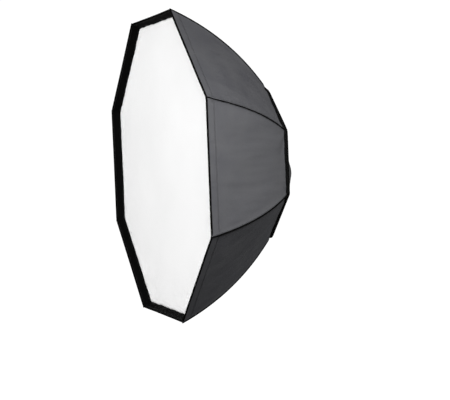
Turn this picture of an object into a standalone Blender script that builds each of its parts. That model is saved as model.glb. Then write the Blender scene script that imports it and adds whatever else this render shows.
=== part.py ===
"""Octagonal studio softbox, 90 cm across its corners, on a three-lug bayonet speed ring.

Metres, +Z up. The origin is the centre of the bayonet's seat face. +Y points back to the light that
holds the softbox, and the diffuser faces -Y. Eight flat-sided sectors lie 45 degrees apart round Y, the
first towards +X, with a rib between each two.
"""

import math

import bmesh
import bpy
from mathutils import Matrix, Vector

# Shell: the seam over each rib is a quadratic curve from the front rim to the rear band.
SECTORS = 8
HALF_SECTOR = math.pi / SECTORS
FRONT_RADIUS = 0.450
BOW_END_Y = -0.065
FRONT_Y = BOW_END_Y - 0.67 * FRONT_RADIUS
RIM_CORNER = Vector((FRONT_RADIUS, FRONT_Y))
BOW_CORNER = Vector((0.838 * FRONT_RADIUS, FRONT_Y + 0.391 * FRONT_RADIUS))
REAR_CORNER = Vector((0.51 * FRONT_RADIUS, BOW_END_Y))
PANEL_THICK = 0.0015
SEAM_GAP = 0.0012
GAP = 0.0004

# Rear band: a stiff tape that stands straight back from the shell's rear edge.
BAND_RADII = (0.2290, 0.2335)
BAND_FRONT_Y = -0.0672
BAND_REAR_Y = -0.0570

# Front rim: a folded hem, then loop tape that holds the diffuser's returned edge.
RECESS = 0.024
LIP_INSETS = (0.0020, 0.0035)
TAPE_INSETS = (0.0020, 0.0032)
SKIRT_INSETS = (0.0038, 0.0050)
TAPE_DEPTH = 0.024
SKIRT_DEPTH = 0.0230
SHEET_THICK = 0.0012
SKIRT_NOTCH = 0.044

# Inner diffuser and its straps.
BAFFLE_Y = -0.200
BAFFLE_RADIUS = 0.300
STRAP_WIDTH = 0.014

# Bayonet adapter, with the speed ring turning on its neck.
SEAT_RADIUS = 0.0720
BORE_RADIUS = 0.0455
COLLAR_RADIUS = 0.0485
COLLAR_LENGTH = 0.0100
FLANGE_THICK = 0.0030
NECK_STEP_Y = -0.0060
LUGS = 3
LUG_RADIUS = 0.0530
LUG_LOW, LUG_HIGH = 0.0055, 0.0095
LUG_ROOT = 0.0015
LUG_WINDOW = (0.020, 0.010, 0.028)
NECK_RADIUS = 0.0558
NECK_BORE = 0.0480
NECK_END_Y = -0.0352
RING_INNER = 0.0563
RING_OUTER = 0.0760
RING_REAR_Y = -0.0210
RING_FRONT_Y = -0.0350
RING_COLLAR_RADIUS = 0.0625
RING_COLLAR_Y = -0.0045
CHAMFER = 0.0010
RETAINER_RADIUS = 0.0660
RETAINER_THICK = 0.0028
SCREWS = 3
SCREW_CIRCLE = 0.5 * (NECK_RADIUS + NECK_BORE)
SCREW_SHANK = 0.0015
SCREW_REACH = 0.0085
SCREW_HOLE_DEPTH = 0.0080
SCREW_HEAD_RADIUS = 0.0030
SCREW_HEAD_HEIGHT = 0.0026
SCREW_KEY_RADIUS = 0.0015
SCREW_KEY_DEPTH = 0.0015

# Sockets and rods.
SOCKET_BASE = Vector((0.0775, -0.0280))
SOCKET_TILT = math.radians(10)
SOCKET_LENGTH = 0.030
SOCKET_RADIUS = 0.0050
SOCKET_BORE = 0.0028
SOCKET_FLOOR = 0.006
STUD_RADIUS = 0.0030
STUD_LENGTH = 0.0098
ROD_RADIUS = 0.0025
ROD_REAR_PULL = 0.185
ROD_FRONT_PULL = 0.055
ROD_TIP_STRAIGHT = 0.036
ROD_TIP_DEPTH = 0.034
ROD_TIP_INSET = 0.0136
POCKET_RADIUS = 0.0060
POCKET_BORE = 0.0033

# Rear flaps, hinged just behind the band, and the screw that one of them is notched for.
HINGE_RADIUS = 0.2112
HINGE_Y = -0.0556
FLAP_INNER_RADIUS = 0.0840
FLAP_INNER_Y = -0.0200
FLAP_GAP = 0.0010
LOCK_SECTOR = 3
LOCK_Y = -0.0118
LOCK_BOSS_RADIUS = 0.0060
LOCK_BOSS_LENGTH = 0.0105
LOCK_BOSS_CENTER = 0.0653
LOCK_BORE_LENGTH = 0.0250
LOCK_SHANK = 0.0025
KNOB_RADIUS = 0.0083
KNOB_CENTER = 0.0815
KNOB_HALF_THICK = 0.0062
KNOB_EDGE = 0.0008
KNOB_LOBES = 5
KNOB_LOBE_DEPTH = 0.09
HUB_RADIUS = 0.0050
HUB_END = 0.0712
NOTCH_WIDTH = 0.024
NOTCH_REACH = 0.096

ABOUT_Y = Matrix.Rotation(-math.pi / 2, 4, "X")


def new_collection(name):
    collection = bpy.data.collections.new(name)
    bpy.context.scene.collection.children.link(collection)
    return collection


for old in list(bpy.data.objects):
    bpy.data.objects.remove(old, do_unlink=True)
PARTS = new_collection("studio_softbox")
CUTTERS = new_collection("cutters")


def material(name, color, roughness, metallic=0.0):
    made = bpy.data.materials.new(name)
    made.use_nodes = True
    shader = made.node_tree.nodes["Principled BSDF"]
    shader.inputs["Base Color"].default_value = (*color, 1.0)
    shader.inputs["Roughness"].default_value = roughness
    shader.inputs["Metallic"].default_value = metallic
    return made


def add_part(name, mesh, finish, place=None, parent=None):
    mesh.shade_smooth()
    mesh.set_sharp_from_angle(angle=math.radians(32))
    part = bpy.data.objects.new(name, mesh)
    PARTS.objects.link(part)
    if not mesh.materials:
        mesh.materials.append(finish)
    part.parent = parent
    if place is not None:
        part.matrix_local = place
    return part


def add_cutter(name, mesh, place=None, parent=None):
    cutter = bpy.data.objects.new(name, mesh)
    CUTTERS.objects.link(cutter)
    cutter.hide_render = True
    cutter.display_type = "WIRE"
    cutter.parent = parent
    if place is not None:
        cutter.matrix_local = place
    return cutter


def boolean(part, operation, other):
    modifier = part.modifiers.new(operation.title(), "BOOLEAN")
    modifier.operation = operation
    modifier.object = other


def frame_at(name, angle):
    """An empty whose +X points out across the Y axis at this angle from the row's +X towards +Z."""
    empty = bpy.data.objects.new(name, None)
    PARTS.objects.link(empty)
    empty.rotation_euler = (0.0, -angle, 0.0)
    return empty


def evaluated_mesh(temporary):
    """The object's mesh with its modifiers applied. The object is removed."""
    bpy.context.scene.collection.objects.link(temporary)
    graph = bpy.context.evaluated_depsgraph_get()
    mesh = bpy.data.meshes.new_from_object(temporary.evaluated_get(graph))
    bpy.data.objects.remove(temporary)
    return mesh


def lathe(name, profile, steps, start=0.0):
    """A (radius, height) profile turned round Z, listed down its outer side.

    It closes itself, unless both of its ends are on the axis.
    """
    points = [
        (radius * math.cos(start), radius * math.sin(start), height)
        for radius, height in profile
    ]
    on_axis = profile[0][0] == 0.0 and profile[-1][0] == 0.0
    count = len(points)
    edges = [(i, (i + 1) % count) for i in range(count - int(on_axis))]
    outline = bpy.data.meshes.new(name)
    outline.from_pydata(points, edges, [])
    temporary = bpy.data.objects.new(name, outline)
    screw = temporary.modifiers.new("Screw", "SCREW")
    screw.steps = steps
    screw.render_steps = steps
    screw.use_merge_vertices = True
    screw.merge_threshold = 1e-5
    return evaluated_mesh(temporary)


def octagon(name, profile):
    """A (corner radius, y) profile turned in eight flat steps, with its corners on the ribs."""
    return lathe(name, profile, SECTORS, HALF_SECTOR)


def box_mesh(name, size, center=(0.0, 0.0, 0.0)):
    shape = bmesh.new()
    bmesh.ops.create_cube(shape, size=1.0)
    bmesh.ops.scale(shape, vec=size, verts=shape.verts)
    bmesh.ops.translate(shape, vec=center, verts=shape.verts)
    mesh = bpy.data.meshes.new(name)
    shape.to_mesh(mesh)
    shape.free()
    return mesh


def rods_mesh(name, radius, length, places, segments=16):
    """Cylinders for cutting, in one mesh, each centred on its own matrix and along its Z axis."""
    shape = bmesh.new()
    for place in places:
        bmesh.ops.create_cone(
            shape,
            cap_ends=True,
            segments=segments,
            radius1=radius,
            radius2=radius,
            depth=length,
            matrix=place,
        )
    mesh = bpy.data.meshes.new(name)
    shape.to_mesh(mesh)
    shape.free()
    return mesh


def sheet_mesh(name, across, along, place):
    """An open grid. place(u, v) gives the point for u across and v along, each from 0 to 1."""
    shape = bmesh.new()
    bmesh.ops.create_grid(shape, x_segments=across, y_segments=along, size=0.5)
    for vert in shape.verts:
        vert.co = place(vert.co.x + 0.5, vert.co.y + 0.5)
    mesh = bpy.data.meshes.new(name)
    shape.to_mesh(mesh)
    shape.free()
    return mesh


def thicken(part, thickness, offset):
    solidify = part.modifiers.new("Solidify", "SOLIDIFY")
    solidify.thickness = thickness
    solidify.offset = offset
    solidify.use_even_offset = True


def around_y(angle):
    return Matrix.Rotation(-angle, 4, "Y")


def pointing(base, direction):
    """The matrix that puts a turned piece's Z axis along a direction, from a base point."""
    turn = direction.to_track_quat("Z", "Y").to_matrix().to_4x4()
    return Matrix.Translation(base) @ turn


def bow_point(t):
    """(corner radius, y) on the seam over a rib: t is 0 at the front rim and 1 at the rear band."""
    return (1 - t) ** 2 * RIM_CORNER + 2 * t * (1 - t) * BOW_CORNER + t * t * REAR_CORNER


def bow_slope(t):
    return (1 - t) * (BOW_CORNER - RIM_CORNER) + t * (REAR_CORNER - BOW_CORNER)


def bow_parameter(y):
    """Solves the seam's quadratic for the t at this y."""
    linear = 2 * (BOW_CORNER.y - RIM_CORNER.y)
    square = RIM_CORNER.y - 2 * BOW_CORNER.y + REAR_CORNER.y
    rise = y - RIM_CORNER.y
    return 2 * rise / (linear + math.sqrt(linear**2 + 4 * square * rise))


def shell_radius(y, inset=0.0):
    """Corner radius, at y, of the surface that lies inset inside the shell's outer face."""
    t = bow_parameter(y)
    slope = bow_slope(t)
    flat_slope = slope.x / slope.y * math.cos(HALF_SECTOR)
    return bow_point(t).x - inset * math.hypot(1.0, flat_slope) / math.cos(HALF_SECTOR)


def rod_curve():
    """Points (radius, y) of a rod's centre line, from the socket's floor to the tip in its pocket."""
    leaving = Vector((math.cos(SOCKET_TILT), -math.sin(SOCKET_TILT)))
    start = SOCKET_BASE + (SOCKET_FLOOR + GAP) * leaving
    mouth = SOCKET_BASE + SOCKET_LENGTH * leaving
    tip_y = FRONT_Y + ROD_TIP_DEPTH
    arriving = -bow_slope(bow_parameter(tip_y)).normalized()
    tip = Vector((shell_radius(tip_y) - ROD_TIP_INSET, tip_y))
    bend_end = tip - ROD_TIP_STRAIGHT * arriving
    pulls = (mouth, mouth + ROD_REAR_PULL * leaving, bend_end - ROD_FRONT_PULL * arriving, bend_end)
    points = [start]
    steps = 22
    for i in range(steps + 1):
        t = i / steps
        weights = ((1 - t) ** 3, 3 * t * (1 - t) ** 2, 3 * t * t * (1 - t), t**3)
        points.append(sum((w * p for w, p in zip(weights, pulls)), Vector((0.0, 0.0))))
    points.append(tip)
    return points, arriving


ROD_POINTS, ROD_ARRIVING = rod_curve()


def rod_radius_at(y):
    for near, far in zip(ROD_POINTS, ROD_POINTS[1:]):
        if far.y <= y <= near.y:
            return near.x + (far.x - near.x) * (near.y - y) / (near.y - far.y)
    raise ValueError("the rod doesn't reach that y")


def bayonet_adapter():
    finish = material("adapter_aluminium", (0.62, 0.63, 0.64), 0.35, 1.0)
    profile = [
        (COLLAR_RADIUS, COLLAR_LENGTH),
        (COLLAR_RADIUS, 0.0),
        (SEAT_RADIUS, 0.0),
        (SEAT_RADIUS, -FLANGE_THICK),
        (NECK_RADIUS, -FLANGE_THICK),
        (NECK_RADIUS, NECK_END_Y),
        (NECK_BORE, NECK_END_Y),
        (NECK_BORE, NECK_STEP_Y),
        (BORE_RADIUS, NECK_STEP_Y),
        (BORE_RADIUS, COLLAR_LENGTH),
    ]
    adapter = add_part("bayonet_adapter", lathe("bayonet_adapter", profile, 72), finish, ABOUT_Y)
    lug_profile = [
        (LUG_RADIUS, LUG_HIGH),
        (LUG_RADIUS, LUG_LOW),
        (COLLAR_RADIUS - LUG_ROOT, LUG_LOW),
        (COLLAR_RADIUS - LUG_ROOT, LUG_HIGH),
    ]
    lugs = add_cutter("lug_ring", lathe("lug_ring", lug_profile, 72), ABOUT_Y)
    lug_windows = bmesh.new()
    for i in range(LUGS):
        turn = around_y(math.radians(90 + 360 / LUGS * i))
        window = Matrix.Translation((LUG_RADIUS, 0.5 * (LUG_LOW + LUG_HIGH), 0.0))
        size = Matrix.Diagonal((*LUG_WINDOW, 1.0))
        bmesh.ops.create_cube(lug_windows, size=1.0, matrix=turn @ window @ size)
    windows_mesh = bpy.data.meshes.new("lug_windows")
    lug_windows.to_mesh(windows_mesh)
    lug_windows.free()
    boolean(lugs, "INTERSECT", add_cutter("lug_windows", windows_mesh))
    boolean(adapter, "UNION", lugs)
    over = 0.001
    places = [screw_place(i, NECK_END_Y + 0.5 * SCREW_HOLE_DEPTH - over) for i in range(SCREWS)]
    holes = rods_mesh("neck_screw_holes", SCREW_SHANK + GAP, SCREW_HOLE_DEPTH + 2 * over, places)
    boolean(adapter, "DIFFERENCE", add_cutter("neck_screw_holes", holes))


def screw_place(i, y):
    """Centre of screw i at this y, with its axis along Y."""
    turn = around_y(math.radians(30 + 360 / SCREWS * i))
    return turn @ Matrix.Translation((SCREW_CIRCLE, y, 0.0)) @ ABOUT_Y


def retaining_ring():
    finish = material("retainer_steel", (0.50, 0.51, 0.52), 0.40, 1.0)
    rear = NECK_END_Y - GAP
    inner = NECK_BORE - 0.0005
    profile = [
        (RETAINER_RADIUS, rear),
        (RETAINER_RADIUS, rear - RETAINER_THICK),
        (inner, rear - RETAINER_THICK),
        (inner, rear),
    ]
    ring = add_part("retaining_ring", lathe("retaining_ring", profile, 72), finish, ABOUT_Y)
    places = [screw_place(i, rear - 0.5 * RETAINER_THICK) for i in range(SCREWS)]
    holes = rods_mesh("retainer_holes", SCREW_SHANK + GAP, 4 * RETAINER_THICK, places)
    boolean(ring, "DIFFERENCE", add_cutter("retainer_holes", holes))


def ring_screws():
    """Socket-head screws. Height 0 is under the head, which is towards the front."""
    finish = material("screw_steel", (0.30, 0.30, 0.31), 0.35, 1.0)
    edge = 0.0004
    profile = [
        (0.0, SCREW_REACH),
        (SCREW_SHANK, SCREW_REACH),
        (SCREW_SHANK, 0.0),
        (SCREW_HEAD_RADIUS, 0.0),
        (SCREW_HEAD_RADIUS, edge - SCREW_HEAD_HEIGHT),
        (SCREW_HEAD_RADIUS - edge, -SCREW_HEAD_HEIGHT),
        (0.0, -SCREW_HEAD_HEIGHT),
    ]
    mesh = lathe("ring_screw", profile, 20)
    face = Matrix.Translation((0, 0, -SCREW_HEAD_HEIGHT))
    socket = rods_mesh("screw_socket", SCREW_KEY_RADIUS, 2 * SCREW_KEY_DEPTH, [face], 6)
    under_head = NECK_END_Y - RETAINER_THICK - 2 * GAP
    for i in range(SCREWS):
        place = screw_place(i, under_head)
        screw = add_part(f"ring_screw_{i + 1}", mesh, finish, place)
        boolean(screw, "DIFFERENCE", add_cutter(f"screw_socket_{i + 1}", socket, place))


def socket_axis():
    return Vector((math.cos(SOCKET_TILT), -math.sin(SOCKET_TILT), 0.0))


def lock_axis_frame(radius):
    """At this radius on the lock screw's line, with Z pointing outwards along it."""
    base = Vector((radius, LOCK_Y, 0.0))
    return around_y(2 * HALF_SECTOR * LOCK_SECTOR) @ pointing(base, Vector((1.0, 0.0, 0.0)))


def speed_ring():
    finish = material("speed_ring_aluminium", (0.55, 0.56, 0.58), 0.32, 1.0)
    profile = [
        (RING_COLLAR_RADIUS, RING_COLLAR_Y),
        (RING_COLLAR_RADIUS, RING_REAR_Y),
        (RING_OUTER - CHAMFER, RING_REAR_Y),
        (RING_OUTER, RING_REAR_Y - CHAMFER),
        (RING_OUTER, RING_FRONT_Y + CHAMFER),
        (RING_OUTER - CHAMFER, RING_FRONT_Y),
        (RING_INNER, RING_FRONT_Y),
        (RING_INNER, RING_COLLAR_Y),
    ]
    ring = add_part("speed_ring", lathe("speed_ring", profile, 72), finish, ABOUT_Y)
    center = lock_axis_frame(LOCK_BOSS_CENTER)
    boss = rods_mesh("lock_boss", LOCK_BOSS_RADIUS, LOCK_BOSS_LENGTH, [center], 24)
    boolean(ring, "UNION", add_cutter("lock_boss", boss))
    bore = rods_mesh("lock_bore", LOCK_SHANK + 0.0003, LOCK_BORE_LENGTH, [center])
    boolean(ring, "DIFFERENCE", add_cutter("lock_bore", bore))
    studs = []
    for k in range(SECTORS):
        turn = around_y(HALF_SECTOR * (2 * k + 1))
        base = SOCKET_BASE.to_3d() - STUD_RADIUS * socket_axis()
        studs.append(turn @ pointing(base, socket_axis()))
    tapped = rods_mesh("socket_holes", STUD_RADIUS + 0.0003, 0.020, studs)
    boolean(ring, "DIFFERENCE", add_cutter("socket_holes", tapped))


def lock_knob(frame):
    """Star head and hub on a plain shank, whose origin is on the screw's own axis."""
    finish = material("knob_plastic", (0.02, 0.02, 0.022), 0.45)
    outline = bpy.data.curves.new("knob_star", "CURVE")
    outline.dimensions = "2D"
    outline.fill_mode = "BOTH"
    outline.extrude = KNOB_HALF_THICK
    outline.bevel_depth = KNOB_EDGE
    outline.bevel_resolution = 1
    count = 40
    rim = KNOB_RADIUS - KNOB_EDGE
    spline = outline.splines.new("POLY")
    spline.points.add(count - 1)
    for i, point in enumerate(spline.points):
        angle = 2 * math.pi * i / count
        radius = rim * (1 - KNOB_LOBE_DEPTH + KNOB_LOBE_DEPTH * math.cos(KNOB_LOBES * angle))
        point.co = (radius * math.cos(angle), radius * math.sin(angle), 0.0, 1.0)
    spline.use_cyclic_u = True
    star = evaluated_mesh(bpy.data.objects.new("knob_star", outline))
    shape = bmesh.new()
    shape.from_mesh(star)
    bmesh.ops.remove_doubles(shape, verts=shape.verts, dist=1e-6)
    shape.to_mesh(star)
    shape.free()
    place = pointing(Vector((KNOB_CENTER, LOCK_Y, 0.0)), Vector((1.0, 0.0, 0.0)))
    knob = add_part("lock_knob", star, finish, place, frame)
    hub_end = HUB_END - KNOB_CENTER
    tip = NECK_RADIUS + GAP - KNOB_CENTER
    profile = [
        (0.0, 0.0),
        (HUB_RADIUS, 0.0),
        (HUB_RADIUS, hub_end),
        (LOCK_SHANK, hub_end),
        (LOCK_SHANK, tip + CHAMFER),
        (LOCK_SHANK - CHAMFER, tip),
        (0.0, tip),
    ]
    shank = add_cutter("knob_shank", lathe("knob_shank", profile, 16), place, frame)
    boolean(knob, "UNION", shank)


def rod_sockets(ribs):
    finish = material("socket_anodised", (0.03, 0.03, 0.035), 0.38, 0.8)
    edge = 0.0004
    profile = [
        (0.0, SOCKET_FLOOR),
        (SOCKET_BORE, SOCKET_FLOOR),
        (SOCKET_BORE, SOCKET_LENGTH),
        (SOCKET_RADIUS - edge, SOCKET_LENGTH),
        (SOCKET_RADIUS, SOCKET_LENGTH - edge),
        (SOCKET_RADIUS, 0.0),
        (STUD_RADIUS, 0.0),
        (STUD_RADIUS, -STUD_LENGTH),
        (0.0, -STUD_LENGTH),
    ]
    mesh = lathe("rod_socket", profile, 16)
    place = pointing(SOCKET_BASE.to_3d(), socket_axis())
    for k, rib in enumerate(ribs):
        add_part(f"rod_socket_{k + 1}", mesh, finish, place, rib)


def rods(ribs):
    finish = material("rod_fibreglass", (0.05, 0.05, 0.055), 0.35)
    curve = bpy.data.curves.new("rod", "CURVE")
    curve.dimensions = "3D"
    curve.bevel_depth = ROD_RADIUS
    curve.bevel_resolution = 2
    curve.use_fill_caps = True
    curve.materials.append(finish)
    spline = curve.splines.new("POLY")
    spline.points.add(len(ROD_POINTS) - 1)
    for point, where in zip(spline.points, ROD_POINTS):
        point.co = (where.x, where.y, 0.0, 1.0)
    for k, rib in enumerate(ribs):
        rod = bpy.data.objects.new(f"rod_{k + 1}", curve)
        PARTS.objects.link(rod)
        rod.parent = rib


def rod_pockets(ribs):
    """Cups over the rod tips. Height 0 is the open end."""
    finish = material("pocket_webbing", (0.02, 0.02, 0.02), 0.9)
    depth = ROD_TIP_STRAIGHT + GAP
    profile = [
        (0.0, depth + 0.0020),
        (POCKET_RADIUS - 0.0015, depth + 0.0020),
        (POCKET_RADIUS, depth + 0.0005),
        (POCKET_RADIUS, 0.0),
        (POCKET_BORE, 0.0),
        (POCKET_BORE, depth),
        (0.0, depth),
    ]
    mesh = lathe("rod_pocket", profile, 14)
    mouth = ROD_POINTS[-1] - ROD_TIP_STRAIGHT * ROD_ARRIVING
    place = pointing(mouth.to_3d(), ROD_ARRIVING.to_3d())
    for k, rib in enumerate(ribs):
        add_part(f"rod_pocket_{k + 1}", mesh, finish, place, rib)


def side_panels(sectors):
    """One gore of the shell for each sector, curved along the ribs and straight across."""
    finish = material("shell_nylon", (0.055, 0.057, 0.062), 0.75)
    rear_t = bow_parameter(BAND_FRONT_Y - GAP)

    def place(u, v):
        point = bow_point(v * rear_t)
        half_width = point.x * math.sin(HALF_SECTOR) - SEAM_GAP
        return (point.x * math.cos(HALF_SECTOR), point.y, (1 - 2 * u) * half_width)

    mesh = sheet_mesh("side_panel", 2, 14, place)
    for k, sector in enumerate(sectors):
        panel = add_part(f"side_panel_{k + 1}", mesh, finish, None, sector)
        thicken(panel, PANEL_THICK, -1.0)


def rim_strip(y_range, insets):
    """Profile of an octagonal strip that follows the inside of the shell between two depths."""
    front, rear = y_range
    outer, inner = insets
    middle = 0.5 * (front + rear)
    return [
        (shell_radius(rear, outer), rear),
        (shell_radius(middle, outer), middle),
        (shell_radius(front, outer), front),
        (shell_radius(front, inner), front),
        (shell_radius(middle, inner), middle),
        (shell_radius(rear, inner), rear),
    ]


def front_lip():
    finish = material("hem_nylon", (0.012, 0.012, 0.014), 0.85)
    profile = rim_strip((FRONT_Y, FRONT_Y + RECESS - GAP), LIP_INSETS)
    add_part("front_lip", octagon("front_lip", profile), finish, ABOUT_Y)


def loop_strip():
    finish = material("loop_tape", (0.015, 0.015, 0.015), 0.95)
    start = FRONT_Y + RECESS + GAP
    profile = rim_strip((start, start + TAPE_DEPTH), TAPE_INSETS)
    add_part("loop_strip", octagon("loop_strip", profile), finish, ABOUT_Y)


def rear_band():
    finish = material("band_webbing", (0.010, 0.010, 0.012), 0.8)
    inner, outer = BAND_RADII
    profile = [
        (outer, BAND_REAR_Y),
        (outer, BAND_FRONT_Y),
        (inner, BAND_FRONT_Y),
        (inner, BAND_REAR_Y),
    ]
    add_part("rear_band", octagon("rear_band", profile), finish, ABOUT_Y)


def front_diffuser(ribs):
    """White sheet across the recess, with an edge that turns back along the loop tape between the ribs."""
    finish = material("diffuser_nylon", (0.90, 0.90, 0.90), 0.7)
    front = FRONT_Y + RECESS
    back = front + SHEET_THICK
    rear = front + SKIRT_DEPTH
    outer, inner = SKIRT_INSETS
    profile = [
        (0.0, back),
        (shell_radius(back, inner), back),
        (shell_radius(rear, inner), rear),
        (shell_radius(rear, outer), rear),
        (shell_radius(front, outer), front),
        (0.0, front),
    ]
    sheet = add_part("front_diffuser", octagon("front_diffuser", profile), finish, ABOUT_Y)
    notches = bmesh.new()
    for rib in ribs:
        window = Matrix.Translation((FRONT_RADIUS, back + GAP + 0.020, 0.0))
        size = Matrix.Diagonal((0.120, 0.040, SKIRT_NOTCH, 1.0))
        bmesh.ops.create_cube(notches, size=1.0, matrix=rib.matrix_basis @ window @ size)
    mesh = bpy.data.meshes.new("skirt_notches")
    notches.to_mesh(mesh)
    notches.free()
    boolean(sheet, "DIFFERENCE", add_cutter("skirt_notches", mesh))


def inner_diffuser():
    finish = material("baffle_nylon", (0.86, 0.86, 0.86), 0.7)
    low, high = BAFFLE_Y - 0.5 * SHEET_THICK, BAFFLE_Y + 0.5 * SHEET_THICK
    profile = [(0.0, high), (BAFFLE_RADIUS, high), (BAFFLE_RADIUS, low), (0.0, low)]
    add_part("inner_diffuser", octagon("inner_diffuser", profile), finish, ABOUT_Y)


def baffle_straps(ribs):
    finish = material("strap_elastic", (0.80, 0.80, 0.80), 0.8)
    inner = BAFFLE_RADIUS + GAP
    outer = rod_radius_at(BAFFLE_Y) - 0.0050
    size = (outer - inner, SHEET_THICK, STRAP_WIDTH)
    mesh = box_mesh("baffle_strap", size, (0.5 * (inner + outer), BAFFLE_Y, 0.0))
    for k, rib in enumerate(ribs):
        add_part(f"baffle_strap_{k + 1}", mesh, finish, None, rib)


def rear_flaps(sectors):
    """Trapezoids from the band to the speed ring. Each one's origin is on its hinge line."""
    finish = material("flap_nylon", (0.020, 0.020, 0.022), 0.8)
    hinge = Vector((HINGE_RADIUS, HINGE_Y, 0.0))
    inner = Vector((FLAP_INNER_RADIUS, FLAP_INNER_Y, 0.0))

    def place(u, v):
        point = hinge.lerp(inner, v)
        half_width = point.x * math.tan(HALF_SECTOR) - FLAP_GAP
        return (point.x - hinge.x, point.y - hinge.y, (2 * u - 1) * half_width)

    mesh = sheet_mesh("rear_flap", 2, 4, place)
    for k, sector in enumerate(sectors):
        flap = add_part(f"rear_flap_{k + 1}", mesh, finish, Matrix.Translation(hinge), sector)
        thicken(flap, PANEL_THICK, 0.0)
        if k == LOCK_SECTOR:
            size = (2 * NOTCH_REACH, 0.080, NOTCH_WIDTH)
            notch = add_cutter("knob_notch", box_mesh("knob_notch", size), None, sector)
            boolean(flap, "DIFFERENCE", notch)


def build():
    sectors = [frame_at(f"sector_{k + 1}", 2 * k * HALF_SECTOR) for k in range(SECTORS)]
    ribs = [frame_at(f"rib_{k + 1}", (2 * k + 1) * HALF_SECTOR) for k in range(SECTORS)]
    bpy.context.view_layer.update()
    bayonet_adapter()
    retaining_ring()
    ring_screws()
    speed_ring()
    lock_knob(sectors[LOCK_SECTOR])
    rod_sockets(ribs)
    rods(ribs)
    rod_pockets(ribs)
    side_panels(sectors)
    front_lip()
    loop_strip()
    rear_band()
    front_diffuser(ribs)
    inner_diffuser()
    baffle_straps(ribs)
    rear_flaps(sectors)


build()
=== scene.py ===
"""Looks of the octagonal studio softbox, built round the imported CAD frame.

Metres, +Z up, +Y towards the light that carries the box, diffuser facing -Y. Angles go round the Y axis
from +X towards +Z. Sector k is centred on 45 * k degrees and the rods stand on the ribs between sectors.
"""

import math

import bpy
import numpy as np
from mathutils import Matrix, Vector, noise


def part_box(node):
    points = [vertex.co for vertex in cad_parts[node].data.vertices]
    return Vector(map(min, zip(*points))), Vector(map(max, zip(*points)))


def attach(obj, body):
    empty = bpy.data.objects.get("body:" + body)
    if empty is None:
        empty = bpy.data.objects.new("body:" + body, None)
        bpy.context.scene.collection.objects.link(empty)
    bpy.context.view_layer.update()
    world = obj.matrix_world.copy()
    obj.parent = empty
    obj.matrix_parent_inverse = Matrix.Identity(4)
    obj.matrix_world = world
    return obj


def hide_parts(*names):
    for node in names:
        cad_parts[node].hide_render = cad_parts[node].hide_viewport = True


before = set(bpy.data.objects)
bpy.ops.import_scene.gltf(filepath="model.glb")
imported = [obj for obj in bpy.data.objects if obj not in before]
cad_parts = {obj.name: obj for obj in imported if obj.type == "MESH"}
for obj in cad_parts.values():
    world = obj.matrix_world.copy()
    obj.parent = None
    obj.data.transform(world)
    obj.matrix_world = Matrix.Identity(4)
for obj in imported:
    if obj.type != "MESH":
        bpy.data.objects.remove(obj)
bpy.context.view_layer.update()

# ---------------- sizes read from the frame
SECTORS = 8
HALF = math.pi / SECTORS
TAN_HALF, SIN_HALF, COS_HALF = math.tan(HALF), math.sin(HALF), math.cos(HALF)
FRONT_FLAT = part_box("side_panel_1")[1].x
FRONT_RADIUS = FRONT_FLAT / COS_HALF
FRONT_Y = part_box("front_lip")[0].y
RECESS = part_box("front_diffuser")[0].y - FRONT_Y
DIFFUSER_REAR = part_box("front_diffuser")[1].y
TAPE_FRONT, TAPE_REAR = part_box("loop_strip")[0].y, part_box("loop_strip")[1].y
BAND_FRONT, BAND_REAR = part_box("rear_band")[0].y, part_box("rear_band")[1].y
BAND_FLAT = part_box("rear_band")[1].x
BAFFLE_Y = 0.5 * (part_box("inner_diffuser")[0].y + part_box("inner_diffuser")[1].y)
BAFFLE_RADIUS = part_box("inner_diffuser")[1].x / COS_HALF
BOW_END_Y = -0.065
LOCK_SECTOR = 3
SOFT_CORNERS = {1.5: 0.0065, 2.5: 0.0040, 0.5: 0.0010}
AMBIENT = 0.11

# Seam curve over a rib: a quadratic in (corner radius, y), as ratios of the rim's corner radius.
RIM = np.array((FRONT_RADIUS, FRONT_Y))
PULL = np.array((0.838 * FRONT_RADIUS, FRONT_Y + 0.391 * FRONT_RADIUS))
TAIL = np.array((0.51 * FRONT_RADIUS, BOW_END_Y))


def bow(t):
    """(corner radius, y) at t, from 0 at the rim to 1 at the rear band."""
    t = np.asarray(t, float)[..., None]
    return (1 - t) ** 2 * RIM + 2 * t * (1 - t) * PULL + t * t * TAIL


def bow_slope(t):
    t = np.asarray(t, float)[..., None]
    return (1 - t) * (PULL - RIM) + t * (TAIL - PULL)


def bow_at(y):
    """The t where the seam curve passes this y."""
    linear = 2 * (PULL[1] - RIM[1])
    square = RIM[1] - 2 * PULL[1] + TAIL[1]
    rise = np.asarray(y, float) - RIM[1]
    return 2 * rise / (linear + np.sqrt(linear**2 + 4 * square * rise))


def shell_flat(y, inset=0.0):
    """Distance from the Y axis to the shell's flat at y, this far inside its outer face."""
    t = bow_at(y)
    slope = bow_slope(t)
    flat_slope = slope[..., 0] / slope[..., 1] * COS_HALF
    return bow(t)[..., 0] * COS_HALF - inset * np.hypot(1.0, flat_slope)


REAR_T = float(bow_at(BAND_FRONT - 0.0004))


# ---------------- small tools
def placed(piece, body, slot, *stands_for):
    """Attach a piece to the body it moves with and hide the CAD nodes it stands for. The slot argument is
    not used.
    """
    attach(piece, body)
    if stands_for:
        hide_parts(*stands_for)


def turned(points, angle):
    """Points of the sector that lies along +X, turned round the Y axis by this angle."""
    points = np.asarray(points, float)
    c, s = math.cos(angle), math.sin(angle)
    x, y, z = points[..., 0], points[..., 1], points[..., 2]
    return np.stack((c * x - s * z, y, s * x + c * z), -1)


def laid(line, normal, angle):
    """A line and its outward normal or normals, turned round the Y axis together."""
    return turned(line, angle), turned(np.broadcast_to(normal, np.shape(line)), angle)


def drift(x, y, z):
    """Smooth noise, from -1 to 1, at one place."""
    return noise.noise(Vector((x, y, z)))


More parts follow.
